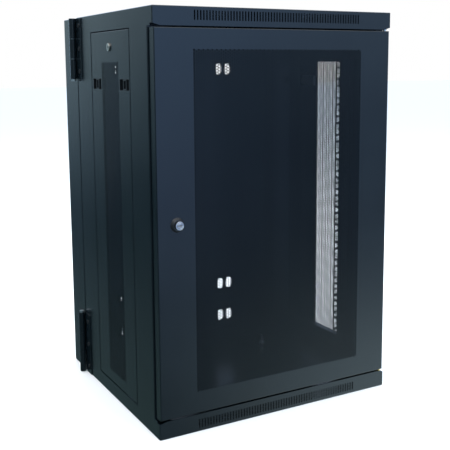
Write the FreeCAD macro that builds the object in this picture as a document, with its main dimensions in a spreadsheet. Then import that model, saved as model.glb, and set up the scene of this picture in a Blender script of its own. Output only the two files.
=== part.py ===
import FreeCAD, Part
import os
import re
import Sketcher

# A wall-mount network rack cabinet: a swinging main body with a perforated front door and two
# lift-off side panels, hinged at its rear left to a shallow frame that stays on the wall.
# X is to the right, the front faces -Y, Z is up. The origin is the centre of the footprint on
# the surface that the cabinet stands on. All sizes are in millimetres.

SIZES = {
    # whole cabinet
    "width": 600, "height": 900, "front": -275, "rear": 275, "bend": 2,
    "body_back": 178.5, "wall_front": 181.5, "metal": 1.5,
    "cap_lip": 39, "sill": 34, "shelf": 5,
    # vent slots in the lips of the caps
    "vent_pitch": 7, "vent_count": 60, "vent_width": 3, "vent_tall": 20.3, "vent_middle": 17.5,
    # fan field and cable ports
    "fan_x": 150, "fan_y": -60, "fan_step": 10, "fan_hole": 3.4,
    "port_wide": 300, "port_deep": 90, "port_y": 110, "port_margin": 10,
    # frame posts and the side openings between them
    "post_front": -249, "opening_front": -156, "opening_back": 80, "post_flange": 38,
    "jamb": 14.5, "jamb_lip": 10,
    # horizontal supports of the rack rails
    "beam_inner": 265, "beam_outer": 283.5, "beam_tall": 18,
    "beam_low": 82, "beam_high": 803, "beam_slot": 8, "slot_from": 20, "slot_to": 165,
    # rack rails
    "unit": 44.45, "units": 18, "unit_bottom": 49.95, "hole_step": 15.875, "first_hole": 6.35,
    "hole_centre": 232.55, "hole_size": 9.5, "rail_inner": 225, "rail_metal": 2,
    "rail_front": -170, "rail_rear": 90, "rail_deep": 30, "rail_low": 46, "rail_high": 854,
    "rail_shim": 0.4, "bolt_near": 10, "bolt_far": 22, "bolt_rear": 18, "bolt_radius": 3,
    # front door
    "door_half": 297, "door_low": 42, "door_high": 858, "door_back": -253,
    "mesh_left": -213, "mesh_right": 218, "mesh_low": 87, "mesh_high": 818,
    "door_return": 12, "door_axis_x": 290, "door_axis_y": -266,
    "pin_radius": 3.5, "running_gap": 0.05,
    # locks
    "door_lock_x": -252, "door_lock_z": 458, "plug_radius": 5.8, "barrel_radius": 8, "rim_radius": 9,
    "side_lock_y": -37, "side_lock_z": 824, "wall_lock_y": 215, "wall_lock_z": 450,
    # side panels
    "panel_gap": 1.5, "panel_deep": 12, "strip_front": -92, "strip_back": 13,
    "strip_low": 60, "strip_high": 793, "latch_low": 729, "latch_high": 755,
    # wall frame and its hinge
    "wall_low": 1, "wall_high": 899, "wall_return": 20, "cable_half": 55,
    "cable_low": 330, "cable_high": 570, "slot_radius": 9.5, "slot_long": 31,
    "slot_inner": 145, "slot_outer": 173, "slot_top": 773, "slot_mid": 149, "slot_foot": 53,
    "hinge_x": -309, "hinge_y": 185, "knuckle_radius": 8, "hinge_pin_radius": 4,
    "knuckle_gap": 1, "leaf_metal": 2,
}

X_SIDES = {"left": -1, "right": 1}

doc = FreeCAD.newDocument("rack_cabinet")
sheet = doc.addObject("Spreadsheet::Sheet", "Sizes")
for row, (alias, number) in enumerate(SIZES.items(), start=1):
    sheet.set(f"A{row}", alias)
    sheet.set(f"B{row}", str(number))
    sheet.setAlias(f"B{row}", alias)
doc.recompute()

kept = []


# ---- helpers: expressions, Part primitives and PartDesign features ----

def named(expression):
    """The same expression with each word read from the spreadsheet."""
    return re.sub(r"[a-z][a-z_]*", lambda word: "Sizes." + word.group(), expression)


def number_of(expression):
    """The value that an expression has now."""
    return float(sheet.evalExpression(named(expression)))


def bind(thing, **expressions):
    """Binds properties such as Length to expressions; an underscore stands for a dot."""
    for path, expression in expressions.items():
        thing.setExpression(path.replace("_", "."), named(expression))


def sided(side, low, high):
    """The span low to high on the right (side 1), or its mirror image on the left (side -1)."""
    if side > 0:
        return (low, high)
    return (f"-({high})", f"-({low})")


def keep(label, thing):
    """Names a finished sub-part and lists it for export."""
    thing.Label = label
    kept.append(thing)
    return thing


def box(x, y, z):
    """A block between the low and high expressions of each axis."""
    block = doc.addObject("Part::Box", "Block")
    sizes = zip("xyz", ("Length", "Width", "Height"), (x, y, z))
    for letter, size, (low, high) in sizes:
        bind(block, **{f"Placement_Base_{letter}": low, size: f"({high}) - ({low})"})
    return block


AXIS_TURN = {
    "x": FreeCAD.Rotation(FreeCAD.Vector(0, 1, 0), 90),
    "y": FreeCAD.Rotation(FreeCAD.Vector(1, 0, 0), -90),
    "z": FreeCAD.Rotation(),
}


def rod(axis, centre, ends, radius, small_radius=None):
    """A round bar along one axis, or a cone where small_radius gives its far end."""
    kind = "Part::Cylinder" if small_radius is None else "Part::Cone"
    bar = doc.addObject(kind, "Rod")
    bar.Placement = FreeCAD.Placement(FreeCAD.Vector(), AXIS_TURN[axis])
    corner = list(centre)
    corner.insert("xyz".index(axis), ends[0])
    for letter, where in zip("xyz", corner):
        bind(bar, **{f"Placement_Base_{letter}": where})
    bind(bar, Height=f"({ends[1]}) - ({ends[0]})")
    if small_radius is None:
        bind(bar, Radius=radius)
    else:
        bind(bar, Radius1=radius, Radius2=small_radius)
    return bar


def hexagon(axis, centre, ends, across_corners):
    """A hexagonal bar along one axis."""
    bar = doc.addObject("Part::Prism", "Hexagon")
    bar.Polygon = 6
    bar.Placement = FreeCAD.Placement(FreeCAD.Vector(), AXIS_TURN[axis])
    corner = list(centre)
    corner.insert("xyz".index(axis), ends[0])
    for letter, where in zip("xyz", corner):
        bind(bar, **{f"Placement_Base_{letter}": where})
    bind(bar, Height=f"({ends[1]}) - ({ends[0]})", Circumradius=across_corners)
    return bar


def fuse(*shapes):
    """One solid made of shapes that overlap."""
    joined = doc.addObject("Part::MultiFuse", "Joined")
    joined.Shapes = list(shapes)
    joined.Refine = True
    return joined


def cut(base, *tools):
    """base with the tools taken away."""
    result = doc.addObject("Part::Cut", "Trimmed")
    result.Base = base
    result.Tool = tools[0] if len(tools) == 1 else fuse(*tools)
    return result


def group(shapes):
    """Separate solids kept together as one sub-part."""
    compound = doc.addObject("Part::Compound", "Group")
    compound.Links = list(shapes)
    return compound


def polygon(*corners):
    """A closed outline whose corners are bound to (across, up) expressions."""
    def draw(sketch):
        first = sketch.GeometryCount
        points = [FreeCAD.Vector(number_of(u), number_of(v), 0) for u, v in corners]
        count = len(points)
        for k in range(count):
            sketch.addGeometry(Part.LineSegment(points[k], points[(k + 1) % count]), False)
        for k in range(count):
            following = first + (k + 1) % count
            sketch.addConstraint(Sketcher.Constraint("Coincident", first + k, 2, following, 1))
        for k, (u, v) in enumerate(corners):
            for kind, word, place in (("DistanceX", u, points[k].x), ("DistanceY", v, points[k].y)):
                rule = Sketcher.Constraint(kind, -1, 1, first + k, 1, place)
                index = sketch.addConstraint(rule)
                sketch.setExpression(f"Constraints[{index}]", named(word))
    return draw


def rectangle(across, up):
    """A rectangular outline between low and high expressions."""
    (left, right), (low, high) = across, up
    return polygon((left, low), (right, low), (right, high), (left, high))


def circle(u, v, radius):
    """A round outline."""
    def draw(sketch):
        centre = FreeCAD.Vector(number_of(u), number_of(v), 0)
        first = sketch.addGeometry(
            Part.Circle(centre, FreeCAD.Vector(0, 0, 1), number_of(radius)), False)
        rules = (("DistanceX", u), ("DistanceY", v))
        for kind, word in rules:
            rule = Sketcher.Constraint(kind, -1, 1, first, 3, number_of(word))
            index = sketch.addConstraint(rule)
            sketch.setExpression(f"Constraints[{index}]", named(word))
        index = sketch.addConstraint(Sketcher.Constraint("Radius", first, number_of(radius)))
        sketch.setExpression(f"Constraints[{index}]", named(radius))
    return draw


def obround(u, v, radius, long):
    """An upright slot with round ends: its middle, its end radius and its whole length."""
    def draw(sketch):
        low = f"({v}) - ({long}) / 2 + ({radius})"
        high = f"({v}) + ({long}) / 2 - ({radius})"
        size = number_of(radius)
        middle = FreeCAD.Vector(number_of(u), number_of(high), 0)
        foot = FreeCAD.Vector(number_of(u), number_of(low), 0)
        up = FreeCAD.Vector(0, 0, 1)
        half_turn = 3.141592653589793
        first = sketch.addGeometry(Part.ArcOfCircle(Part.Circle(middle, up, size), 0, half_turn), False)
        sketch.addGeometry(
            Part.ArcOfCircle(Part.Circle(foot, up, size), half_turn, 2 * half_turn), False)
        shift = FreeCAD.Vector(size, 0, 0)
        sketch.addGeometry(Part.LineSegment(middle - shift, foot - shift), False)
        sketch.addGeometry(Part.LineSegment(foot + shift, middle + shift), False)
        joints = ((first, 2, first + 2, 1), (first + 2, 2, first + 1, 1),
                  (first + 1, 2, first + 3, 1), (first + 3, 2, first, 1))
        for joint in joints:
            sketch.addConstraint(Sketcher.Constraint("Tangent", *joint))
        sketch.addConstraint(Sketcher.Constraint("Vertical", first + 2))
        sketch.addConstraint(Sketcher.Constraint("Vertical", first + 3))
        rules = (("DistanceX", first, 3, u), ("DistanceY", first, 3, high),
                 ("DistanceY", first + 1, 3, low))
        for kind, item, point, word in rules:
            index = sketch.addConstraint(
                Sketcher.Constraint(kind, -1, 1, item, point, number_of(word)))
            sketch.setExpression(f"Constraints[{index}]", named(word))
        index = sketch.addConstraint(Sketcher.Constraint("Radius", first, size))
        sketch.setExpression(f"Constraints[{index}]", named(radius))
    return draw


def new_body(label):
    """A PartDesign body that is one sub-part."""
    return keep(label, doc.addObject("PartDesign::Body", "Body"))


def extrude(body, kind, role, span, *outlines):
    """Adds (Pad) or takes away (Pocket) a prism between low and high along the plane's normal."""
    low, high = span
    origin_plane = [item for item in body.Origin.OriginFeatures if item.Role == role + "_Plane"][0]
    sketch = body.newObject("Sketcher::SketchObject", "Sketch")
    sketch.AttachmentSupport = [(origin_plane, "")]
    sketch.MapMode = "FlatFace"
    # The XZ plane faces -Y, and a pocket runs against its plane's normal.
    if role == "XZ":
        offset = f"-({high})" if kind == "Pad" else f"-({low})"
    else:
        offset = low if kind == "Pad" else high
    sketch.setExpression("AttachmentOffset.Base.z", named(offset))
    for draw in outlines:
        draw(sketch)
    feature = body.newObject("PartDesign::" + kind, kind)
    feature.Profile = sketch
    bind(feature, Length=f"({high}) - ({low})")
    sketch.Visibility = False
    return feature


def pad(body, role, span, *outlines):
    return extrude(body, "Pad", role, span, *outlines)


def pocket(body, role, span, *outlines):
    """A pocket that is known to have taken material away."""
    doc.recompute()
    before = body.Shape.Volume
    feature = extrude(body, "Pocket", role, span, *outlines)
    doc.recompute()
    if body.Shape.Volume >= before:
        raise RuntimeError(f"a pocket in {body.Label} cuts nothing")
    return feature


def lies_on(edge, planes):
    """Whether an edge lies in every one of the given planes, such as {"x": "width / 2"}."""
    for letter, expression in planes.items():
        place = number_of(expression)
        ends = (getattr(edge.BoundBox, f"{letter.upper()}{end}") for end in ("Min", "Max"))
        if any(abs(end - place) > 0.01 for end in ends):
            return False
    return True


def soften(body, *choices):
    """Rounds the bends of folded sheet: the edges that lie in any one choice of planes."""
    doc.recompute()
    solid = body.Tip
    names = []
    for k, edge in enumerate(solid.Shape.Edges, start=1):
        if any(lies_on(edge, planes) for planes in choices):
            names.append(f"Edge{k}")
    fillet = body.newObject("PartDesign::Fillet", "Bend")
    fillet.Base = (solid, names)
    bind(fillet, Radius="bend")


def repeat(body, feature, sketch_axis, length, count):
    """Repeats a feature in a straight row along its own sketch's H or V axis."""
    pattern = body.newObject("PartDesign::LinearPattern", "Row")
    pattern.Originals = [feature]
    pattern.Direction = (feature.Profile[0], [sketch_axis + "_Axis"])
    bind(pattern, Length=length, Occurrences=count)
    body.Tip = pattern
    return pattern


# ---- main body: caps, posts, beams, rack rails ----

HALF = "width / 2"
INSIDE = "width / 2 - metal"
CAP_CORNERS = [{"x": f"{sign}{HALF}", "y": end} for sign in ("-", "") for end in ("front", "body_back")]


def vents(body, middle):
    """The row of narrow upright slots in a cap's front lip."""
    start = "-vent_pitch * (vent_count - 1) / 2"
    slot = obround(start, middle, "vent_width / 2", "vent_tall")
    first = pocket(body, "XZ", ("front", "front + metal"), slot)
    repeat(body, first, "H", "vent_pitch * (vent_count - 1)", "vent_count")


def corner_clips(body, edge, tip):
    """The sloping clearance cut in each outer corner of a cap's lip, beside the door."""
    for side in (-1, 1):
        outline = polygon((f"{side} * ({HALF} + 1)", edge), (f"{side} * ({HALF} - 16)", edge),
                          (f"{side} * ({HALF} + 1)", tip))
        pocket(body, "XZ", ("front - 1", "front + 13"), outline)


def top_cap():
    cap = new_body("top_cap")
    floor = "height - cap_lip"
    pad(cap, "XY", (floor, "height"), rectangle((f"-{HALF}", HALF), ("front", "body_back")))
    soften(cap, {"z": "height"}, *CAP_CORNERS)
    pocket(cap, "XY", (floor, "height - metal"),
           rectangle((f"-({INSIDE})", INSIDE), ("front + metal", "body_back - metal")))
    corner_clips(cap, floor, f"{floor} + shelf")
    pad(cap, "XY", (f"{floor} + shelf", f"{floor} + shelf + metal"),
        rectangle((f"-({INSIDE})", INSIDE), ("front + metal", "post_front")))
    pocket(cap, "XY", (f"{floor} + shelf", f"{floor} + shelf + metal"),
           circle("door_axis_x", "door_axis_y", "pin_radius + running_gap"))
    vents(cap, "height - vent_middle")
    port = rectangle(("-port_wide / 2", "port_wide / 2"),
                     ("port_y - port_deep / 2", "port_y + port_deep / 2"))
    pocket(cap, "XY", ("height - metal", "height"), port)
    for side in (-1, 1):
        middle = f"{side} * fan_x"
        pocket(cap, "XY", ("height - metal", "height"), circle(middle, "fan_y", "fan_hole"))
        for ring in range(1, 6):
            fan_ring(cap, middle, ring)


def fan_ring(cap, middle, ring):
    """One ring of round vent holes about a fan position: six more holes in each ring outwards."""
    radius = f"{ring} * fan_step"
    holes = []
    for k in range(6 * ring):
        turn = FreeCAD.Rotation(FreeCAD.Vector(0, 0, 1), 60 * k / ring)
        spoke = turn.multVec(FreeCAD.Vector(1, 0, 0))
        holes.append(circle(f"{middle} + {radius} * ({spoke.x:.6f})",
                            f"fan_y + {radius} * ({spoke.y:.6f})", "fan_hole"))
    pocket(cap, "XY", ("height - metal", "height"), *holes)


def bottom_cap():
    cap = new_body("bottom_cap")
    pad(cap, "XY", ("0", "cap_lip"), rectangle((f"-{HALF}", HALF), ("front", "body_back")))
    soften(cap, {"z": "0"}, *CAP_CORNERS)
    pocket(cap, "XY", ("metal", "cap_lip"),
           rectangle((f"-({INSIDE})", INSIDE), ("front + metal", "body_back - metal")))
    pocket(cap, "XY", ("sill", "cap_lip"),
           rectangle((f"-{HALF}", HALF), ("post_front", "body_back")))
    corner_clips(cap, "cap_lip", "cap_lip - shelf")
    pad(cap, "XY", ("cap_lip - shelf - metal", "cap_lip - shelf"),
        rectangle((f"-({INSIDE})", INSIDE), ("front + metal", "post_front")))
    pocket(cap, "XY", ("cap_lip - shelf - metal", "cap_lip - shelf"),
           circle("door_axis_x", "door_axis_y", "pin_radius + running_gap"))
    vents(cap, "vent_middle")
    port = rectangle(("-port_wide / 2", "port_wide / 2"),
                     ("port_y - port_deep / 2", "port_y + port_deep / 2"))
    pocket(cap, "XY", ("0", "metal"), port)
    vent = pocket(cap, "XY", ("0", "metal"), obround("-160", "-120", "3", "60"))
    repeat(cap, vent, "H", "320", "21")


def cable_covers():
    """The plates that close the cable ports of both caps, each on the inside of its sheet."""
    across = ("-port_wide / 2 - port_margin", "port_wide / 2 + port_margin")
    along = ("port_y - port_deep / 2 - port_margin", "port_y + port_deep / 2 + port_margin")
    levels = {"top": ("height - metal - 1.2", "height - metal"), "bottom": ("metal", "metal + 1.2")}
    for place, level in levels.items():
        keep(f"{place}_cable_cover", box(across, along, level))


def post(side_name, end):
    """A folded corner post: outer web, door or rear flange, and the jamb of the side opening."""
    side = X_SIDES[side_name]
    body = new_body(f"{end}_{side_name}_post")
    if end == "front":
        outer, jamb, inward = "post_front", "opening_front", 1
    else:
        outer, jamb, inward = "body_back", "opening_back", -1
    skin = f"{inward} * metal"
    lip = f"{jamb} + {inward} * jamb_lip"
    profile = [
        (HALF, outer), (f"{HALF} - post_flange", outer), (f"{HALF} - post_flange", f"{outer} + {skin}"),
        (INSIDE, f"{outer} + {skin}"), (INSIDE, f"{jamb} - {skin}"),
        (f"{HALF} - jamb", f"{jamb} - {skin}"), (f"{HALF} - jamb", lip),
        (f"{HALF} - jamb + metal", lip), (f"{HALF} - jamb + metal", jamb), (HALF, jamb),
    ]
    corners = [(f"{side} * ({u})", v) for u, v in profile]
    pad(body, "XY", ("sill", "height - cap_lip"), polygon(*corners))
    soften(body, *({"x": f"{side} * ({HALF})", "y": edge} for edge in (outer, jamb)))


def rear_crossrails():
    """Two folded rails that join the rear posts above and below."""
    across = (f"-({HALF} - post_flange)", f"{HALF} - post_flange")
    bars = []
    for low, high in (("sill", "sill + 26"), ("height - cap_lip - 26", "height - cap_lip")):
        bars.append(fuse(box(across, ("body_back - metal", "body_back"), (low, high)),
                         box(across, ("body_back - 20", "body_back"), (low, f"{low} + metal")),
                         box(across, ("body_back - 20", "body_back"), (f"{high} - metal", high))))
    keep("rear_crossrails", group(bars))


BEAMS = ("beam_low", "beam_high")


def depth_beams(side_name):
    """Two channels from the front post to the rear post, slotted for the rear rack rail."""
    side = X_SIDES[side_name]
    bars = []
    for level in BEAMS:
        low, high = f"{level} - beam_tall / 2", f"{level} + beam_tall / 2"
        length = ("post_front + metal", "body_back - metal")
        web = box(sided(side, "beam_inner", "beam_inner + metal"), length, (low, high))
        across = sided(side, "beam_inner", "beam_outer")
        foot = box(across, length, (low, f"{low} + metal"))
        head = box(across, length, (f"{high} - metal", high))
        slot = box(sided(side, "beam_inner - 1", "beam_inner + metal + 1"), ("slot_from", "slot_to"),
                   (f"{level} - beam_slot / 2", f"{level} + beam_slot / 2"))
        bars.append(cut(fuse(web, foot, head), slot))
    keep(f"{side_name}_depth_beams", group(bars))


def rack_rail(side_name, end):
    """An angle with three square holes in each rack unit of its front flange."""
    side = X_SIDES[side_name]
    body = new_body(f"{end}_{side_name}_rack_rail")
    face, outside = {"front": ("rail_front", "beam_inner"),
                     "rear": ("rail_rear", "beam_inner - rail_shim")}[end]
    corners = [
        ("rail_inner", face), (outside, face), (outside, f"{face} + rail_deep"),
        (f"{outside} - rail_metal", f"{face} + rail_deep"),
        (f"{outside} - rail_metal", f"{face} + rail_metal"), ("rail_inner", f"{face} + rail_metal"),
    ]
    pad(body, "XY", ("rail_low", "rail_high"),
        polygon(*[(f"{side} * ({u})", v) for u, v in corners]))
    holes = []
    for k in range(3):
        middle = f"unit_bottom + first_hole + {k} * hole_step"
        holes.append(rectangle(sided(side, "hole_centre - hole_size / 2", "hole_centre + hole_size / 2"),
                               (f"{middle} - hole_size / 2", f"{middle} + hole_size / 2")))
    first = pocket(body, "XZ", (face, f"{face} + rail_metal"), *holes)
    repeat(body, first, "V", "unit * (units - 1)", "units")


def pan_screw(axis, centre, under_head, out, radius, shank):
    """A pan-head screw: its head stands out (out 1 or -1) from the face under_head."""
    if out > 0:
        head = (under_head, f"{under_head} + {radius * 0.6}")
        stem = (f"{under_head} - {shank}", under_head)
    else:
        head = (f"{under_head} - {radius * 0.6}", under_head)
        stem = (under_head, f"{under_head} + {shank}")
    top = rod(axis, centre, head, str(radius * 2))
    reach = (stem[0], head[1]) if out > 0 else (head[0], stem[1])
    return fuse(top, rod(axis, centre, reach, str(radius)))


def rail_bolts():
    """Bolts that hold the front rack rails to the depth beams, two at each beam."""
    bolts = []
    for side in (-1, 1):
        for level in BEAMS:
            for step in ("bolt_near", "bolt_far"):
                bolts.append(pan_screw("x", (f"rail_front + {step}", level),
                                       f"{side} * (beam_inner - rail_metal)", -side, 3, 6))
    keep("front_rail_bolts", group(bolts))


def rear_rail_bolts():
    """Bolts and nuts that ride in the beam slots with the rear rack rails."""
    bolts = []
    for side in (-1, 1):
        for level in BEAMS:
            place = ("rail_rear + bolt_rear", level)
            face = f"{side} * (beam_inner - rail_shim - rail_metal)"
            bolts.append(pan_screw("x", place, face, -side, 3, 10))
            nut = hexagon("x", place, sided(side, "beam_inner + metal + 0.5", "beam_inner + metal + 5"), "6")
            bolts.append(cut(nut, rod("x", place, sided(side, "beam_inner", "beam_inner + 10"), "bolt_radius")))
    keep("rear_rail_bolts", group(bolts))


def corner_gussets():
    """Plates that tie each post to the skirts of both caps from inside."""
    plates = []
    for side in (-1, 1):
        for along in (("post_front + 8", "post_front + 68"), ("body_back - 78", "body_back - 18")):
            for low, high in (("sill - 24", "sill + 40"), ("height - cap_lip - 40", "height - 12")):
                plates.append(box(sided(side, "width / 2 - metal - 2", "width / 2 - metal"),
                                  along, (low, high)))
    keep("corner_gussets", group(plates))


def ground_stud():
    """The threaded stud, washer and nut where the cabinet is bonded to earth."""
    place = ("200", "130")
    stud = rod("z", place, ("metal", "metal + 22"), "3")
    washer = cut(rod("z", place, ("metal", "metal + 1.5"), "7"),
                 rod("z", place, ("metal - 1", "metal + 3"), "3"))
    nut = cut(hexagon("z", place, ("metal + 1.5", "metal + 6.5"), "5.8"),
              rod("z", place, ("metal + 1", "metal + 7"), "3"))
    keep("ground_stud", group([stud, washer, nut]))


# ---- locks: a turning plug with its cam in a fixed barrel ----

def lock_barrel(axis, centre, ends, rim):
    """The fixed sleeve, with a wider rim outside the sheet that it is fitted in."""
    sleeve = rod(axis, centre, ends, "barrel_radius")
    flange = rod(axis, centre, rim, "rim_radius")
    bore = rod(axis, centre, (f"{ends[0]} - 1", f"{ends[1]} + 1"), "plug_radius + running_gap")
    return cut(fuse(sleeve, flange), bore)


def lock_plug(axis, centre, ends, key_end):
    """The turning plug, with a keyway in its outer end."""
    plug = rod(axis, centre, ends, "plug_radius")
    spans = []
    for word, half in zip(centre, ("4.2", "1")):
        spans.append((f"{word} - {half}", f"{word} + {half}"))
    spans.insert("xyz".index(axis), key_end)
    return cut(plug, box(*spans))


def front_door_lock():
    centre = ("door_lock_x", "door_lock_z")
    barrel = lock_barrel("y", centre, ("front - 12", "post_front - 5"), ("front - 12", "front - 9.5"))
    keep("door_lock_barrel", barrel)
    collar = rod("y", centre, ("front - 7", "front"), "11.5", "15.5")
    keep("door_lock_escutcheon", cut(collar, rod("y", centre, ("front - 8", "front + 1"), "barrel_radius")))
    nut = hexagon("y", centre, ("front + metal", "front + metal + 4.5"), "13")
    keep("door_lock_nut", cut(nut, rod("y", centre, ("front", "front + 8"), "barrel_radius")))
    plug = lock_plug("y", centre, ("front - 12.4", "post_front + 6"), ("front - 13", "front - 6"))
    keep("door_lock_plug", plug)
    blade = box(("door_lock_x - 6", "door_lock_x + 6"), ("post_front + 3", "post_front + 5"),
                ("door_lock_z - 9", "door_lock_z + 40"))
    keep("door_lock_cam", cut(blade, rod("y", centre, ("post_front", "post_front + 8"), "plug_radius")))


def side_panel_lock(side_name):
    side = X_SIDES[side_name]
    centre = ("side_lock_y", "side_lock_z")
    outer = sided(side, "width / 2 - 16", "width / 2 + 2.6")
    rim = sided(side, "width / 2", "width / 2 + 2.6")
    keep(f"{side_name}_panel_lock_barrel", lock_barrel("x", centre, outer, rim))
    ends = sided(side, "width / 2 - 20", "width / 2 + 2.9")
    key = sided(side, "width / 2 - 3", "width / 2 + 3.5")
    plug = lock_plug("x", centre, ends, key)
    blade_x = sided(side, "width / 2 - 19", "width / 2 - 17")
    blade = cut(box(blade_x, ("side_lock_y - 9", "side_lock_y + 44"), ("side_lock_z - 6", "side_lock_z + 6")),
                rod("x", centre, sided(side, "width / 2 - 22", "width / 2 - 15"), "plug_radius"))
    keep(f"{side_name}_panel_lock_plug", group([plug, blade]))


def wall_frame_lock():
    centre = ("wall_lock_y", "wall_lock_z")
    keep("wall_lock_barrel", lock_barrel("x", centre, ("width / 2 - 30", "width / 2 + 2.6"),
                                         ("width / 2", "width / 2 + 2.6")))
    plug = lock_plug("x", centre, ("width / 2 - 36", "width / 2 + 2.9"),
                     ("width / 2 - 3", "width / 2 + 3.5"))
    blade = cut(box(("width / 2 - 35", "width / 2 - 33"), ("wall_lock_y - 29", "wall_lock_y + 9"),
                    ("wall_lock_z - 5", "wall_lock_z + 5")),
                rod("x", centre, ("width / 2 - 40", "width / 2 - 31"), "plug_radius"))
    keep("wall_lock_plug", group([plug, blade]))


def wall_lock_keeper():
    """The slotted tab on the main body that the wall frame's cam rises into."""
    tab = box(("258", "274"), ("body_back - metal", "wall_lock_y + 18"),
              ("wall_lock_z + 20", "wall_lock_z + 22"))
    foot = box(("258", "274"), ("body_back", "body_back + 1.5"),
               ("wall_lock_z + 20", "wall_lock_z + 48"))
    slot = box(("263", "269"), ("wall_lock_y - 27", "wall_lock_y + 7"),
               ("wall_lock_z + 19", "wall_lock_z + 23"))
    trim = box(("257", "275"), ("body_back - 3", "body_back"), ("wall_lock_z + 19", "wall_lock_z + 23"))
    keep("wall_lock_keeper", cut(fuse(tab, foot), slot, trim))


# ---- front door ----

def door_panel():
    body = new_body("door_panel")
    across = ("-door_half", "door_half")
    inner = ("-door_half + metal", "door_half - metal")
    pad(body, "XZ", ("front", "door_back"), rectangle(across, ("door_low", "door_high")))
    soften(body, {"y": "front"})
    pocket(body, "XZ", ("front + metal", "door_back"),
           rectangle(inner, ("door_low + metal", "door_high - metal")))
    for side in (-1, 1):
        lip = sided(side, "door_half - metal - door_return", "door_half - metal")
        pad(body, "XZ", ("door_back - metal", "door_back"),
            rectangle(lip, ("door_low + metal", "door_high - metal")))
    window = rectangle(("mesh_left", "mesh_right"), ("mesh_low", "mesh_high"))
    pocket(body, "XZ", ("front", "front + metal"), window)
    pocket(body, "XZ", ("front", "front + metal"),
           circle("door_lock_x", "door_lock_z", "barrel_radius"))
    pin = circle("door_axis_x", "door_axis_y", "pin_radius + running_gap")
    pocket(body, "XY", ("door_low", "door_low + metal"), pin)
    pocket(body, "XY", ("door_high - metal", "door_high"), pin)


def door_mesh():
    """The perforated field of the door, as a plain sheet of the same thickness."""
    keep("door_mesh", box(("mesh_left", "mesh_right"), ("front", "front + metal"),
                          ("mesh_low", "mesh_high")))


def door_stiffeners():
    """Upright channels behind the solid margins at each side of the perforated field."""
    bars = []
    for left, right in (("mesh_left - 23", "mesh_left - 4"), ("mesh_right + 4", "mesh_right + 23")):
        length = ("door_low + 18", "door_high - 18")
        deep = ("front + metal", "front + metal + 11")
        back = box((left, right), ("front + metal + 9.8", "front + metal + 11"), length)
        walls = [box((left, f"{left} + 1.2"), deep, length), box((f"{right} - 1.2", right), deep, length)]
        bars.append(fuse(back, *walls))
    keep("door_stiffeners", group(bars))


def door_hinges():
    """The door's lower pivot, and the sprung upper pin that lets the door lift away."""
    axis = ("door_axis_x", "door_axis_y")
    arm_x = ("door_axis_x - 12", "door_half - metal")
    arm_y = ("front + metal", "door_axis_y + 8")
    web_y = ("front + metal", "front + metal + 1.2")
    foot = "door_low + metal"
    lower = cut(box(arm_x, arm_y, (foot, f"{foot} + 12")),
                rod("z", axis, (f"{foot} - 1", f"{foot} + 13"), "pin_radius"))
    guide_low, guide_high = "door_high - 38", "door_high - 8"
    upper = cut(fuse(box(arm_x, arm_y, (guide_low, f"{guide_low} + 1.5")),
                     box(arm_x, arm_y, (f"{guide_high}", f"{guide_high} + 1.5")),
                     box(arm_x, web_y, (guide_low, f"{guide_high} + 1.5"))),
                rod("z", axis, (f"{guide_low} - 1", f"{guide_high} + 3"), "pin_radius + running_gap"))
    keep("door_hinge_brackets", group([lower, upper]))
    keep("door_hinge_pin_bottom", rod("z", axis, ("cap_lip - shelf - 6", f"{foot} + 14"), "pin_radius"))
    washer = cut(rod("z", axis, ("cap_lip - shelf + 0.4", "door_low"), "6"),
                 rod("z", axis, ("cap_lip - shelf", "door_low + 1"), "pin_radius"))
    keep("door_hinge_washer", washer)
    top = "height - cap_lip + shelf + metal + 6"
    collar = ("door_high - 20", "door_high - 17")
    pin = fuse(rod("z", axis, ("door_high - 46", top), "pin_radius"), rod("z", axis, collar, "5.2"),
               box(("door_axis_x - 26", "door_axis_x"), ("door_axis_y - 2", "door_axis_y + 2"), collar))
    keep("door_hinge_pin_top", pin)
    coil = ("door_high - 36.5", "door_high - 20")
    keep("door_pin_spring", cut(rod("z", axis, coil, "5"), rod("z", axis, coil, "4.2")))


def door_bumpers():
    """Soft stops on the door's closing edge."""
    pads = []
    for level in ("door_low + 60", "(door_low + door_high) / 2 + 60", "door_high - 60"):
        pads.append(rod("y", ("-door_half + 8", level), ("door_back", "door_back + 3"), "4.5"))
    keep("door_bumpers", group(pads))


# ---- side panels ----

LATCHES = {"front": ("opening_front + 5", "strip_front - 4", 1),
           "rear": ("strip_back + 3", "opening_back - 10", -1)}


def side_panel(side_name):
    side = X_SIDES[side_name]
    body = new_body(f"{side_name}_panel")
    along = ("opening_front + panel_gap", "opening_back - panel_gap")
    tall = ("sill + 2", "height - cap_lip - 2")
    inner_along = ("opening_front + panel_gap + metal", "opening_back - panel_gap - metal")
    inner_tall = ("sill + 2 + metal", "height - cap_lip - 2 - metal")
    skin = sided(side, "width / 2 - metal", "width / 2")
    pad(body, "YZ", sided(side, "width / 2 - panel_deep", "width / 2"), rectangle(along, tall))
    soften(body, {"x": f"{side} * ({HALF})"})
    pocket(body, "YZ", sided(side, "width / 2 - panel_deep", "width / 2 - metal"),
           rectangle(inner_along, inner_tall))
    pocket(body, "YZ", skin, rectangle(("strip_front", "strip_back"), ("strip_low", "strip_high")),
           circle("side_lock_y", "side_lock_z", "barrel_radius"))
    windows = [rectangle(span[:2], ("latch_low", "latch_high")) for span in LATCHES.values()]
    pocket(body, "YZ", skin, *windows)
    pocket(body, "XZ", ("opening_front", "opening_back"),
           rectangle(sided(side, "width / 2 - panel_deep - 1", "width / 2 - 6"),
                     ("latch_low + 6", "latch_high - 6")))


def side_panel_mesh(side_name):
    """The perforated strip of a side panel, as a plain sheet of the same thickness."""
    side = X_SIDES[side_name]
    keep(f"{side_name}_panel_mesh",
         box(sided(side, "width / 2 - metal", "width / 2"), ("strip_front", "strip_back"),
             ("strip_low", "strip_high")))


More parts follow.
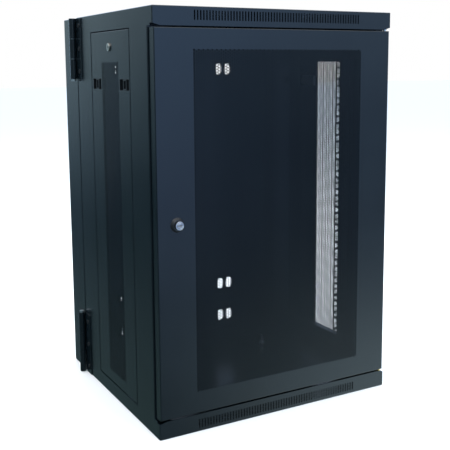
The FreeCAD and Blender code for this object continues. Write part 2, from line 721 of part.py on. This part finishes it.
def panel_latches(side_name):
    """Two sprung slide latches: an open tray in the panel, and a finger slider with its tongue."""
    side = X_SIDES[side_name]
    tall = ("latch_low", "latch_high")
    trays = []
    for end, (low, high, toward) in LATCHES.items():
        tray = box(sided(side, "width / 2 - 11", "width / 2"), (low, high), tall)
        hollow = box(sided(side, "width / 2 - 10", "width / 2 + 1"), (f"{low} + 1.2", f"{high} - 1.2"),
                     ("latch_low + 1.2", "latch_high - 1.2"))
        gate_y = (f"{low} - 1", f"{low} + 3") if toward > 0 else (f"{high} - 3", f"{high} + 1")
        gate = box(sided(side, "width / 2 - 10.5", "width / 2 - 6"), gate_y,
                   ("latch_low + 7", "latch_high - 7"))
        trays.append(cut(tray, hollow, gate))
        middle = f"({low} + ({high})) / 2"
        grip = box(sided(side, "width / 2 - 9.5", "width / 2 - 0.8"), (f"{middle} - 9", f"{middle} + 9"),
                   ("latch_low + 1.8", "latch_high - 1.8"))
        scoop = box(sided(side, "width / 2 - 6", "width / 2"), (f"{middle} - 6.5", f"{middle} + 6.5"),
                    ("latch_low + 4", "latch_high - 4"))
        tip = "opening_front + 0.6" if toward > 0 else "opening_back - 0.6"
        reach = (tip, middle) if toward > 0 else (middle, tip)
        tongue = box(sided(side, "width / 2 - 9.5", "width / 2 - 7"), reach,
                     ("latch_low + 8", "latch_high - 8"))
        keep(f"{side_name}_latch_{end}", cut(fuse(grip, tongue), scoop))
    keep(f"{side_name}_latch_trays", group(trays))


# ---- wall frame and the hinge that carries the main body ----

def wall_frame_ring():
    body = new_body("wall_frame_ring")
    inside = (f"-({INSIDE})", INSIDE)
    inner_tall = ("wall_low + metal", "wall_high - metal")
    pad(body, "XZ", ("wall_front", "rear"), rectangle((f"-{HALF}", HALF), ("wall_low", "wall_high")))
    corners = [{"x": f"{sign}{HALF}", "z": end} for sign in ("-", "") for end in ("wall_low", "wall_high")]
    soften(body, {"y": "wall_front"}, *corners)
    pocket(body, "XZ", ("wall_front + metal", "rear"), rectangle(inside, inner_tall))
    mouth = rectangle(("-width / 2 + wall_return", "width / 2 - wall_return"),
                      ("wall_low + wall_return", "wall_high - wall_return"))
    pocket(body, "XZ", ("wall_front", "wall_front + metal"), mouth)
    pocket(body, "YZ", ("width / 2 - metal", "width / 2"),
           circle("wall_lock_y", "wall_lock_z", "barrel_radius"))


def wall_back_plate():
    body = new_body("wall_back_plate")
    pad(body, "XZ", ("rear - metal", "rear"),
        rectangle((f"-({INSIDE})", INSIDE), ("wall_low + metal", "wall_high - metal")))
    pocket(body, "XZ", ("rear - metal", "rear"),
           rectangle(("-cable_half", "cable_half"), ("cable_low", "cable_high")))
    slots = []
    for side in (-1, 1):
        for column in ("slot_inner", "slot_outer"):
            for level in ("slot_top", "slot_mid", "slot_foot"):
                slots.append(obround(f"{side} * {column}", level, "slot_radius", "slot_long"))
    pocket(body, "XZ", ("rear - metal", "rear"), *slots)


def wall_cable_grommet():
    """The soft edging of the cable opening in the wall plate."""
    deep = ("rear - 4", "rear")
    outer = box(("-cable_half", "cable_half"), deep, ("cable_low", "cable_high"))
    inner = box(("-cable_half + 4", "cable_half - 4"), ("rear - 5", "rear + 1"),
                ("cable_low + 4", "cable_high - 4"))
    keep("wall_cable_grommet", cut(outer, inner))


HINGES = {"upper": ("height - 148", "height - 2"), "lower": ("wall_low", "wall_low + 156")}


def swing_hinge(place):
    """A three-knuckle hinge: the middle knuckle is on the main body, the others on the frame."""
    low, high = HINGES[place]
    axis = ("hinge_x", "hinge_y")
    step = f"(({high}) - ({low})) / 3"
    ends = [low, f"{low} + {step}", f"{low} + 2 * {step}", high]
    bore = rod("z", axis, (f"{low} - 1", f"{high} + 1"), "hinge_pin_radius + running_gap")
    leaf_x = ("-width / 2 - leaf_metal", "-width / 2")
    middle = (f"{ends[1]} + knuckle_gap / 2", f"{ends[2]} - knuckle_gap / 2")
    body_leaf = fuse(box(leaf_x, ("body_back - 34", "body_back - 1.5"), (low, high)),
                     box(leaf_x, ("body_back - 3", "hinge_y"), middle),
                     rod("z", axis, middle, "knuckle_radius"))
    keep(f"{place}_hinge_body_leaf", cut(body_leaf, bore))
    pieces = [box(leaf_x, ("hinge_y + 9", "hinge_y + 40"), (low, high))]
    for span in ((low, f"{ends[1]} - knuckle_gap / 2"), (f"{ends[2]} + knuckle_gap / 2", high)):
        pieces.append(box(leaf_x, ("hinge_y", "hinge_y + 10"), span))
        pieces.append(rod("z", axis, span, "knuckle_radius"))
    keep(f"{place}_hinge_wall_leaf", cut(fuse(*pieces), bore))
    if place == "upper":
        ends_of_pin = (f"{low} - 5", f"{high} - 4")
        head = (f"{low} - 5", f"{low} - 0.5")
    else:
        ends_of_pin = (f"{low} + 4", f"{high} + 5")
        head = (f"{high} + 0.5", f"{high} + 5")
    keep(f"{place}_hinge_pin", fuse(rod("z", axis, ends_of_pin, "hinge_pin_radius"),
                                    rod("z", axis, head, "hinge_pin_radius + 1.5")))


def frame_screws():
    """Screws of the hinge leaves on the main body."""
    screws = []
    for low, high in HINGES.values():
        for part_way in ("1 / 8", "1 / 2", "7 / 8"):
            level = f"({low}) + (({high}) - ({low})) * {part_way}"
            screws.append(pan_screw("x", ("body_back - 20", level),
                                    "-width / 2 - leaf_metal", -1, 2.5, 6))
    keep("hinge_leaf_screws", group(screws))


# ---- the whole cabinet ----

top_cap()
bottom_cap()
cable_covers()
for side_name in X_SIDES:
    for end in ("front", "rear"):
        post(side_name, end)
        rack_rail(side_name, end)
    depth_beams(side_name)
    side_panel(side_name)
    side_panel_mesh(side_name)
    side_panel_lock(side_name)
    panel_latches(side_name)
rear_crossrails()
rail_bolts()
rear_rail_bolts()
corner_gussets()
ground_stud()
door_panel()
door_mesh()
door_stiffeners()
door_hinges()
door_bumpers()
front_door_lock()
wall_frame_ring()
wall_back_plate()
wall_cable_grommet()
wall_frame_lock()
wall_lock_keeper()
for place in HINGES:
    swing_hinge(place)
frame_screws()

doc.recompute()
for item in doc.Objects:
    if "Invalid" in item.State or "Error" in item.State:
        raise RuntimeError(f"{item.Name} ({item.Label}) failed: {item.State}")
for item in kept:
    if item.Shape.isNull() or not item.Shape.isValid():
        raise RuntimeError(f"{item.Label} has no valid shape")
    if item.Shape.Volume <= 0:
        raise RuntimeError(f"{item.Label} is empty")

os.makedirs("parts", exist_ok=True)
for item in kept:
    item.Shape.exportStep(f"parts/{item.Label}.step")
print(f"{len(kept)} sub-parts written")
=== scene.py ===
import math

import bmesh
import bpy
from mathutils import Matrix, Vector


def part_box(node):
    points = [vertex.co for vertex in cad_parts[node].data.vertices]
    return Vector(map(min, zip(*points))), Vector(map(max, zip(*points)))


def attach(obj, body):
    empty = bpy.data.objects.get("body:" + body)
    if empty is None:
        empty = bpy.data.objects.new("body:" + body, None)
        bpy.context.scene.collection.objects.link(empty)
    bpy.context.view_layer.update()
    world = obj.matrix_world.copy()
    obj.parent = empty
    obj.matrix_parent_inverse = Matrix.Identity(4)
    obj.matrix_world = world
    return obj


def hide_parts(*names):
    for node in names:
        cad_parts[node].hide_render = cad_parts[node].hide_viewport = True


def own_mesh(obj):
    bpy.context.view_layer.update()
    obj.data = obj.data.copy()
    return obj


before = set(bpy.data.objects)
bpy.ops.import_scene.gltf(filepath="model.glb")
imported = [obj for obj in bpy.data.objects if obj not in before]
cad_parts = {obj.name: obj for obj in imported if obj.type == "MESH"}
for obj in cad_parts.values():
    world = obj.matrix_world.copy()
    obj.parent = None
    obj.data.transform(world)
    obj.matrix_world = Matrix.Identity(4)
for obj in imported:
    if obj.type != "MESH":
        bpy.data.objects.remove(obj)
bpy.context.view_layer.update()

# Looks of a wall-mount network rack cabinet. Lengths are in metres, in the frame's own axes:
# the door faces -Y, the wall is at +Y, and +X is to the right of the door.

MM = 0.001

LENS = 63.6  # mm, for a sensor 36 mm wide
LENS_SHIFT = -0.1
CAMERA_PLACE = (-0.94067, -1.72451, 0.77852)
CAMERA_TURN, CAMERA_DIP, CAMERA_TILT = 28.928, -8.089, -0.410  # degrees
FLOOR_HALF = 30.0
CORNER_STEPS = 8  # in each rounded corner of the cable edging


# ---- camera, floor and light ----

def make_camera():
    """A viewpoint level with the upper part of the cabinet, to the left of its door."""
    data = bpy.data.cameras.new("camera")
    data.sensor_width = 36.0
    data.lens = LENS
    data.shift_y = LENS_SHIFT
    camera = bpy.data.objects.new("camera", data)
    turn, dip, tilt = math.radians(CAMERA_TURN), math.radians(CAMERA_DIP), math.radians(CAMERA_TILT)
    aim = Matrix.Rotation(-turn, 4, "Z") @ Matrix.Rotation(math.pi / 2 + dip, 4, "X")
    place = Matrix.Translation(CAMERA_PLACE)
    camera.matrix_world = place @ aim @ Matrix.Rotation(tilt, 4, "Z")
    bpy.context.scene.collection.objects.link(camera)
    bpy.context.scene.camera = camera


def make_floor():
    """A plain white floor, far larger than the view."""
    corners = [(-FLOOR_HALF, -FLOOR_HALF, 0), (FLOOR_HALF, -FLOOR_HALF, 0),
               (FLOOR_HALF, FLOOR_HALF, 0), (-FLOOR_HALF, FLOOR_HALF, 0)]
    mesh = bpy.data.meshes.new("floor")
    mesh.from_pydata(corners, [], [(0, 1, 2, 3)])
    floor = bpy.data.objects.new("floor", mesh)
    bpy.context.scene.collection.objects.link(floor)
    paint = bpy.data.materials.new("floor_paint")
    paint.use_nodes = True
    shader = paint.node_tree.nodes["Principled BSDF"]
    shader.inputs["Base Color"].default_value = (0.93, 0.93, 0.93, 1)
    shader.inputs["Roughness"].default_value = 0.9
    mesh.materials.append(paint)
    floor.visible_glossy = False


def softbox(name, place, target, size, power, colour):
    """A rectangular area light aimed at a point."""
    data = bpy.data.lights.new(name, "AREA")
    data.shape = "RECTANGLE"
    data.size, data.size_y = size
    data.energy = power
    data.color = colour
    light = bpy.data.objects.new(name, data)
    light.location = place
    light.rotation_euler = (Vector(target) - Vector(place)).to_track_quat("-Z", "Y").to_euler()
    bpy.context.scene.collection.objects.link(light)


# What the gloss sees, as (elevation in degrees, colour) from low to high, for four directions
# given by their share of +X: past the left side's front and its rear, in front of the door, and
# to the door's right.
STUDIO = (
    (-0.38, ((-30, (0.11, 0.19, 0.17)), (-18, (0.07, 0.12, 0.13)), (-10, (0.00, 0.02, 0.03)),
             (-4, (0.08, 0.15, 0.19)), (3, (0.26, 0.38, 0.47)), (40, (1.0, 1.1, 1.2)))),
    (-0.31, ((-30, (0.14, 0.24, 0.24)), (-18, (0.14, 0.22, 0.24)), (-10, (0.06, 0.11, 0.13)),
             (-4, (0.33, 0.48, 0.57)), (3, (0.66, 0.90, 0.98)), (40, (1.0, 1.1, 1.2)))),
    (0.35, ((-30, (0.08, 0.12, 0.11)), (-20, (0.14, 0.24, 0.26)), (-10, (0.66, 0.94, 1.70)),
            (3, (1.04, 1.66, 2.80)), (12, (1.04, 1.66, 2.80)), (40, (1.2, 1.3, 1.4)))),
    (0.65, ((-30, (2.40, 3.00, 3.10)), (-21, (2.15, 2.80, 3.05)), (-14, (0.32, 0.46, 0.66)),
            (-6, (0.28, 0.42, 0.66)), (5, (0.80, 1.15, 1.70)), (40, (1.2, 1.3, 1.4)))),
)


def studio_colour(tree):
    """The colour of the studio in each direction: ramps by height, blended along X."""
    def node(kind):
        return tree.nodes.new(kind)

    axes = node("ShaderNodeSeparateXYZ")
    tree.links.new(node("ShaderNodeTexCoord").outputs["Generated"], axes.inputs["Vector"])
    height = node("ShaderNodeMapRange")
    height.inputs["From Min"].default_value = -1.0
    tree.links.new(axes.outputs["Z"], height.inputs["Value"])
    blended = before = None
    for share, stops in STUDIO:
        ramp = node("ShaderNodeValToRGB").color_ramp
        for n, (elevation, colour) in enumerate(stops):
            spot = (1 + math.sin(math.radians(elevation))) / 2
            element = ramp.elements[n] if n < 2 else ramp.elements.new(spot)
            element.position = spot
            element.color = (*colour, 1)
        output = tree.nodes[-1].outputs["Color"]
        tree.links.new(height.outputs["Result"], tree.nodes[-1].inputs["Fac"])
        if blended:
            turn = node("ShaderNodeMapRange")
            turn.inputs["From Min"].default_value = before
            turn.inputs["From Max"].default_value = share
            turn.interpolation_type = "SMOOTHSTEP"
            tree.links.new(axes.outputs["X"], turn.inputs["Value"])
            both = node("ShaderNodeMixRGB")
            tree.links.new(turn.outputs["Result"], both.inputs["Fac"])
            tree.links.new(blended, both.inputs["Color1"])
            tree.links.new(output, both.inputs["Color2"])
            output = both.outputs["Color"]
        blended, before = output, share
    return blended


def make_world():
    """A white backdrop all round; what lights the object and shows in its gloss is a darker studio."""
    world = bpy.data.worlds.new("studio")
    world.use_nodes = True
    tree = world.node_tree
    shown = tree.nodes["Background"]
    shown.inputs["Color"].default_value = (1, 1, 1, 1)
    lit = tree.nodes.new("ShaderNodeBackground")
    rays = tree.nodes.new("ShaderNodeLightPath")
    choice = tree.nodes.new("ShaderNodeMixShader")
    tree.links.new(studio_colour(tree), lit.inputs["Color"])
    tree.links.new(rays.outputs["Is Camera Ray"], choice.inputs["Fac"])
    tree.links.new(lit.outputs["Background"], choice.inputs[1])
    tree.links.new(shown.outputs["Background"], choice.inputs[2])
    tree.links.new(choice.outputs["Shader"], tree.nodes["World Output"].inputs["Surface"])
    bpy.context.scene.world = world


def make_light():
    """A wide soft light overhead, which also whitens the floor."""
    bpy.context.scene.view_settings.view_transform = "Standard"
    softbox("overhead", (0.0, 0.0, 3.2), (0, 0, 0), (5.0, 5.0), 190, (1.0, 1.0, 1.0))


# ---- materials ----

class Paint:
    """One procedural material: a principled shader and the nodes that feed it."""

    def __init__(self, name, **settings):
        self.material = bpy.data.materials.new(name)
        self.material.use_nodes = True
        self.tree = self.material.node_tree
        self.shader = self.tree.nodes["Principled BSDF"]
        self.place = self.node("ShaderNodeTexCoord").outputs["Object"]
        for socket, value in settings.items():
            self.shader.inputs[socket.replace("_", " ")].default_value = value

    def node(self, kind, **values):
        made = self.tree.nodes.new(kind)
        for name, value in values.items():
            if name in made.inputs:
                made.inputs[name].default_value = value
            else:
                setattr(made, name, value)
        return made

    def link(self, output, target):
        self.tree.links.new(output, target)

    def stretched(self, scale):
        """The object's coordinates, stretched unevenly."""
        mapping = self.node("ShaderNodeMapping", Scale=scale)
        self.link(self.place, mapping.inputs["Vector"])
        return mapping.outputs["Vector"]

    def noise(self, size, detail=2.0, rough=0.5, place=None):
        """Cloudy noise whose blobs are about size metres across."""
        made = self.node("ShaderNodeTexNoise", Scale=1 / size, Detail=detail, Roughness=rough)
        self.link(place or self.place, made.inputs["Vector"])
        return made.outputs["Fac"]

    def cells(self, size, place=None):
        """Distance to the nearest of scattered points about size metres apart."""
        made = self.node("ShaderNodeTexVoronoi", Scale=1 / size)
        self.link(place or self.place, made.inputs["Vector"])
        return made.outputs["Distance"]

    def mix(self, factor, one, two):
        """A value that goes from factor of one source to the rest of the other."""
        made = self.node("ShaderNodeMix", Factor=factor)
        self.link(one, made.inputs["A"])
        self.link(two, made.inputs["B"])
        return made.outputs["Result"]

    def colours(self, source, low, dark, high, light):
        """The base colour runs from dark to light as the source goes from low to high."""
        ramp = self.node("ShaderNodeValToRGB")
        ramp.color_ramp.elements[0].position = low
        ramp.color_ramp.elements[0].color = (*dark, 1)
        ramp.color_ramp.elements[1].position = high
        ramp.color_ramp.elements[1].color = (*light, 1)
        self.link(source, ramp.inputs["Fac"])
        self.link(ramp.outputs["Color"], self.shader.inputs["Base Color"])

    def roughness(self, source, least, most):
        span = self.node("ShaderNodeMapRange")
        span.inputs["From Min"].default_value = 0.3
        span.inputs["From Max"].default_value = 0.7
        span.inputs["To Min"].default_value = least
        span.inputs["To Max"].default_value = most
        self.link(source, span.inputs["Value"])
        self.link(span.outputs["Result"], self.shader.inputs["Roughness"])

    def bumps(self, source, depth, strength=1.0, edge=0.0):
        """Relief whose height is depth metres, over edges rounded to a radius of edge metres."""
        bump = self.node("ShaderNodeBump", Strength=strength, Distance=depth)
        if edge:
            rounded = self.node("ShaderNodeBevel", Radius=edge, samples=6)
            self.link(rounded.outputs["Normal"], bump.inputs["Normal"])
        self.link(source, bump.inputs["Height"])
        self.link(bump.outputs["Normal"], self.shader.inputs["Normal"])


def black_powder():
    """Satin powder coat: blue-black, with fine orange peel and slight clouding of its gloss."""
    paint = Paint("black_powder", IOR=1.4)
    clouds = paint.noise(0.12, detail=3)
    peel = paint.noise(0.0016, detail=1.5)
    grain = paint.cells(0.0007)
    paint.colours(clouds, 0.3, (0.0026, 0.0052, 0.0074), 0.7, (0.0034, 0.0068, 0.0096))
    paint.roughness(paint.mix(0.5, clouds, peel), 0.19, 0.26)
    paint.bumps(paint.mix(0.3, peel, grain), 0.00006, strength=0.5)
    return paint.material


def zinc():
    """Zinc-plated steel with a faint spangle and rubbed gloss."""
    paint = Paint("zinc", Metallic=1.0)
    spangle = paint.cells(0.0025)
    rub = paint.noise(0.0012, detail=4, place=paint.stretched((1, 1, 0.15)))
    paint.colours(paint.mix(0.5, spangle, rub), 0.2, (0.42, 0.44, 0.46), 0.8, (0.66, 0.68, 0.70))
    paint.roughness(rub, 0.26, 0.42)
    paint.bumps(rub, 0.00003, strength=0.4)
    return paint.material


def black_screws():
    """Black-oxide steel, slightly rubbed."""
    paint = Paint("black_screws", Metallic=0.6)
    rub = paint.noise(0.0015, detail=4)
    paint.colours(rub, 0.35, (0.012, 0.013, 0.015), 0.75, (0.045, 0.047, 0.05))
    paint.roughness(rub, 0.3, 0.48)
    paint.bumps(rub, 0.00004, strength=0.4)
    return paint.material


def brass_washer():
    """Plain brass with a soft tarnish."""
    paint = Paint("brass_washer", Metallic=1.0)
    tarnish = paint.noise(0.003, detail=4)
    paint.colours(tarnish, 0.3, (0.42, 0.27, 0.08), 0.7, (0.68, 0.47, 0.17))
    paint.roughness(tarnish, 0.25, 0.42)
    paint.bumps(tarnish, 0.00003, strength=0.3)
    return paint.material


def chrome_trim():
    """Bright chrome plate with hair scratches."""
    paint = Paint("chrome_trim", Metallic=1.0)
    scratches = paint.noise(0.0009, detail=5, rough=0.6, place=paint.stretched((1, 1, 0.1)))
    dulling = paint.noise(0.006)
    paint.colours(dulling, 0.3, (0.34, 0.32, 0.29), 0.7, (0.50, 0.47, 0.43))
    paint.roughness(paint.mix(0.5, dulling, scratches), 0.10, 0.22)
    paint.bumps(scratches, 0.00002, strength=0.25, edge=1.2 * MM)
    return paint.material


def black_rubber():
    """Matt rubber with a fine pitted skin."""
    paint = Paint("black_rubber", IOR=1.45)
    bloom = paint.noise(0.008, detail=4)
    pits = paint.cells(0.0009)
    paint.colours(bloom, 0.3, (0.010, 0.010, 0.011), 0.75, (0.022, 0.022, 0.023))
    paint.roughness(bloom, 0.62, 0.82)
    paint.bumps(pits, 0.00008, strength=0.5)
    return paint.material


def black_plastic():
    """Moulded black plastic with a fine spark texture."""
    paint = Paint("black_plastic", IOR=1.48)
    texture = paint.noise(0.0006, detail=2)
    flow = paint.noise(0.02, detail=3)
    paint.colours(flow, 0.3, (0.0065, 0.008, 0.010), 0.7, (0.010, 0.012, 0.015))
    paint.roughness(flow, 0.30, 0.42)
    paint.bumps(texture, 0.00003, strength=0.4)
    return paint.material


def spring_wire():
    """Drawn spring steel with streaks along the wire."""
    paint = Paint("spring_wire", Metallic=1.0)
    streaks = paint.noise(0.0004, detail=4, place=paint.stretched((0.2, 0.2, 1)))
    paint.colours(streaks, 0.3, (0.34, 0.35, 0.37), 0.7, (0.58, 0.59, 0.61))
    paint.roughness(streaks, 0.2, 0.36)
    paint.bumps(streaks, 0.00002, strength=0.3)
    return paint.material


FINISHES = {"black_powder": black_powder, "zinc": zinc, "black_screws": black_screws,
            "brass_washer": brass_washer, "chrome_trim": chrome_trim, "black_rubber": black_rubber,
            "black_plastic": black_plastic, "spring_wire": spring_wire}


def paint_nodes(paints):
    """Every CAD node's slots get the finish that the record's slot names."""
    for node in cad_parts.values():
        for place in node.material_slots:
            place.material = paints[place.material.name.split(".")[0]]


# ---- pieces ----

def add_piece(name, mesh, body, finish, paints, *nodes):
    """Puts a mesh in the scene, on its body, in its finish, for the CAD nodes that it stands for."""
    mesh.materials.clear()
    mesh.materials.append(paints[finish])
    piece = bpy.data.objects.new(name, mesh)
    bpy.context.scene.collection.objects.link(piece)
    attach(piece, body)
    if nodes:
        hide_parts(*nodes)
    return piece


HOLE_SIDES = 12
HOLE_PITCH_UP = 6.0 * MM
HOLE_PITCH_ACROSS = HOLE_PITCH_UP * math.sqrt(3) / 2
HOLE_RADIUS = 2.4 * MM
MESH_STEEL = 0.8 * MM


def perforated_mesh(name, across, up, thick, field_across, field_up, lay):
    """A sheet with round holes staggered by columns, as one closed mesh.

    across and up are the sheet's ends, field_across and field_up those of the holes' field, and
    thick its two faces. lay(u, v, w) gives the point at u across, v up and w through the sheet.
    """
    columns = round((field_across[1] - field_across[0]) / HOLE_PITCH_ACROSS)
    rows = round((field_up[1] - field_up[0]) / HOLE_PITCH_UP)
    step_u = (field_across[1] - field_across[0]) / columns
    step_v = (field_up[1] - field_up[0]) / (2 * rows)
    lines_u = [field_across[0] + step_u * i for i in range(columns + 1)]
    lines_v = [field_up[0] + step_v * k for k in range(2 * rows + 1)]
    lines_u = [across[0], *lines_u, across[1]]
    lines_v = [up[0], *lines_v, up[1]]
    points, faces, grid = [], [], []

    def point(u, v, w):
        points.append(lay(u, v, w))
        return len(points) - 1

    for w in thick:
        grid.append([[point(u, v, w) for v in lines_v] for u in lines_u])
    front, back = grid

    def face_pair(*corners):
        """The same outline on both faces of the sheet, wound to face outwards."""
        faces.append([front[i][k] for i, k in corners])
        faces.append([back[i][k] for i, k in reversed(corners)])

    def plain(i, k):
        face_pair((i, k), (i + 1, k), (i + 1, k + 1), (i, k + 1))

    def drilled(i, k):
        """A cell two half-steps tall, with a round hole in its middle."""
        middle_u = (lines_u[i] + lines_u[i + 1]) / 2
        middle_v = lines_v[k + 1]
        rim = [(i + 1, k + 1), (i + 1, k + 2), (i, k + 2), (i, k + 1), (i, k), (i + 1, k)]
        turns = [math.tau * n / HOLE_SIDES for n in range(HOLE_SIDES)]
        rings = [[point(middle_u + HOLE_RADIUS * math.cos(t), middle_v + HOLE_RADIUS * math.sin(t), w)
                  for t in turns] for w in thick]
        for n in range(HOLE_SIDES):
            after = (n + 1) % HOLE_SIDES
            faces.append([rings[0][n], rings[0][after], rings[1][after], rings[1][n]])
        for n, (a, b) in enumerate(zip(rim, rim[1:] + rim[:1])):
            start, half, end = 2 * n, 2 * n + 1, (2 * n + 2) % HOLE_SIDES
            for side, ring, turned in ((front, rings[0], 1), (back, rings[1], -1)):
                outer = [side[a[0]][a[1]], side[b[0]][b[1]], ring[end], ring[half]]
                inner = [side[a[0]][a[1]], ring[half], ring[start]]
                faces.append(outer[::turned])
                faces.append(inner[::turned])

    last_u, last_v = len(lines_u) - 1, len(lines_v) - 1
    for i in range(last_u):
        if i in (0, last_u - 1):
            for k in range(last_v):
                plain(i, k)
            continue
        plain(i, 0)
        plain(i, last_v - 1)
        shift = (i - 1) % 2
        if shift:
            plain(i, 1)
            plain(i, last_v - 2)
        for row in range(rows - shift):
            drilled(i, 1 + shift + 2 * row)
    for i in range(last_u):
        faces.append([front[i][0], back[i][0], back[i + 1][0], front[i + 1][0]])
        faces.append([front[i][last_v], front[i + 1][last_v], back[i + 1][last_v], back[i][last_v]])
    for k in range(last_v):
        faces.append([front[0][k], front[0][k + 1], back[0][k + 1], back[0][k]])
        faces.append([front[last_u][k], back[last_u][k], back[last_u][k + 1], front[last_u][k + 1]])
    mesh = bpy.data.meshes.new(name)
    mesh.from_pydata(points, [], faces)
    mesh.validate()
    return mesh


DOOR_BANDS = 4


def door_mesh(paints):
    """The door's perforated field, in bands side by side."""
    low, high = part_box("door_mesh")
    margin = 2.0 * MM
    columns = round((high.x - low.x - 2 * margin) / HOLE_PITCH_ACROSS)
    field = (low.x + margin, high.x - margin)
    pitch = (field[1] - field[0]) / columns
    cuts = [2 * round(columns * n / DOOR_BANDS / 2) for n in range(DOOR_BANDS)] + [columns]
    for n in range(DOOR_BANDS):
        holes = (field[0] + pitch * cuts[n], field[0] + pitch * cuts[n + 1])
        sheet = (low.x if n == 0 else holes[0], high.x if n == DOOR_BANDS - 1 else holes[1])
        name = f"door_mesh_band_{n + 1}"
        mesh = perforated_mesh(name, sheet, (low.z, high.z), (low.y, low.y + MESH_STEEL), holes,
                               (low.z + margin, high.z - margin), lambda u, v, w: (u, w, v))
        add_piece(name, mesh, "front_door", "black_powder", paints, "door_mesh")


def side_mesh(side, paints):
    """A side panel's perforated strip."""
    low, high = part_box(f"{side}_panel_mesh")
    margin = 1.0 * MM
    if side == "left":
        faces = (low.x + MESH_STEEL, low.x)
    else:
        faces = (high.x, high.x - MESH_STEEL)
    mesh = perforated_mesh(f"{side}_mesh_strip", (low.y, high.y), (low.z, high.z), faces,
                           (low.y + margin, high.y - margin), (low.z + margin, high.z - margin),
                           lambda u, v, w: (w, u, v))
    add_piece(f"{side}_mesh_strip", mesh, f"{side}_side_panel", "black_powder", paints,
              f"{side}_panel_mesh")


def tube_mesh(name, points, radius, closed=False):
    """A round tube along points, as a mesh."""
    curve = bpy.data.curves.new(name, "CURVE")
    curve.dimensions = "3D"
    curve.bevel_depth = radius
    curve.bevel_resolution = 3
    curve.use_fill_caps = not closed
    line = curve.splines.new("POLY")
    line.points.add(len(points) - 1)
    for place, point in zip(line.points, points):
        place.co = (*point, 1)
    line.use_cyclic_u = closed
    holder = bpy.data.objects.new(name, curve)
    bpy.context.scene.collection.objects.link(holder)
    mesh = bpy.data.meshes.new_from_object(holder.evaluated_get(bpy.context.evaluated_depsgraph_get()))
    bpy.data.objects.remove(holder)
    bpy.data.curves.remove(curve)
    mesh.name = name
    skin = bmesh.new()
    skin.from_mesh(mesh)
    bmesh.ops.remove_doubles(skin, verts=skin.verts, dist=1e-6)
    bmesh.ops.recalc_face_normals(skin, faces=skin.faces)
    skin.to_mesh(mesh)
    skin.free()
    for face in mesh.polygons:
        face.use_smooth = True
    return mesh


def door_spring(paints):
    """The coil under the door's upper hinge pin, with closed end turns."""
    low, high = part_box("door_pin_spring")
    middle = (low + high) / 2
    wire = 0.35 * MM
    radius = (high.x - low.x) / 2 - wire
    turns, steps = 6.5, 24
    ends = 1.0
    points = []
    bottom, top = low.z + wire, high.z - wire
    for n in range(int(turns * steps) + 1):
        turn = n / steps
        share = min(max((turn - ends) / (turns - 2 * ends), 0.0), 1.0)
        flat = 2 * wire * (min(turn, ends) + max(turn - turns + ends, 0.0))
        rise = (top - bottom - 4 * wire * ends) * share
        angle = math.tau * turn
        points.append((middle.x + radius * math.cos(angle), middle.y + radius * math.sin(angle),
                       bottom + flat + rise))
    mesh = tube_mesh("door_pin_coil", points, wire)
    spring = add_piece("door_pin_coil", mesh, "front_door", "spring_wire", paints, "door_pin_spring")
    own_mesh(spring)


def cable_edging(paints):
    """The rubber edging round the cable opening of the wall plate, with rounded corners."""
    low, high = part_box("wall_cable_grommet")
    radius = (high.y - low.y) / 2
    bend = 3 * radius
    points = []
    for across, up, start in ((1, 1, 0), (-1, 1, 1), (-1, -1, 2), (1, -1, 3)):
        centre_x = (high.x if across > 0 else low.x) - across * (radius + bend)
        centre_z = (high.z if up > 0 else low.z) - up * (radius + bend)
        for n in range(CORNER_STEPS + 1):
            angle = math.pi / 2 * (start + n / CORNER_STEPS)
            points.append((centre_x + bend * math.cos(angle), (low.y + high.y) / 2,
                           centre_z + bend * math.sin(angle)))
    mesh = tube_mesh("cable_edging", points, radius, closed=True)
    add_piece("cable_edging", mesh, "wall_frame", "black_rubber", paints, "wall_cable_grommet")


make_camera()
make_floor()
make_world()
make_light()
paints = {name: make() for name, make in FINISHES.items()}
paint_nodes(paints)
door_mesh(paints)
for side in ("left", "right"):
    side_mesh(side, paints)
door_spring(paints)
cable_edging(paints)
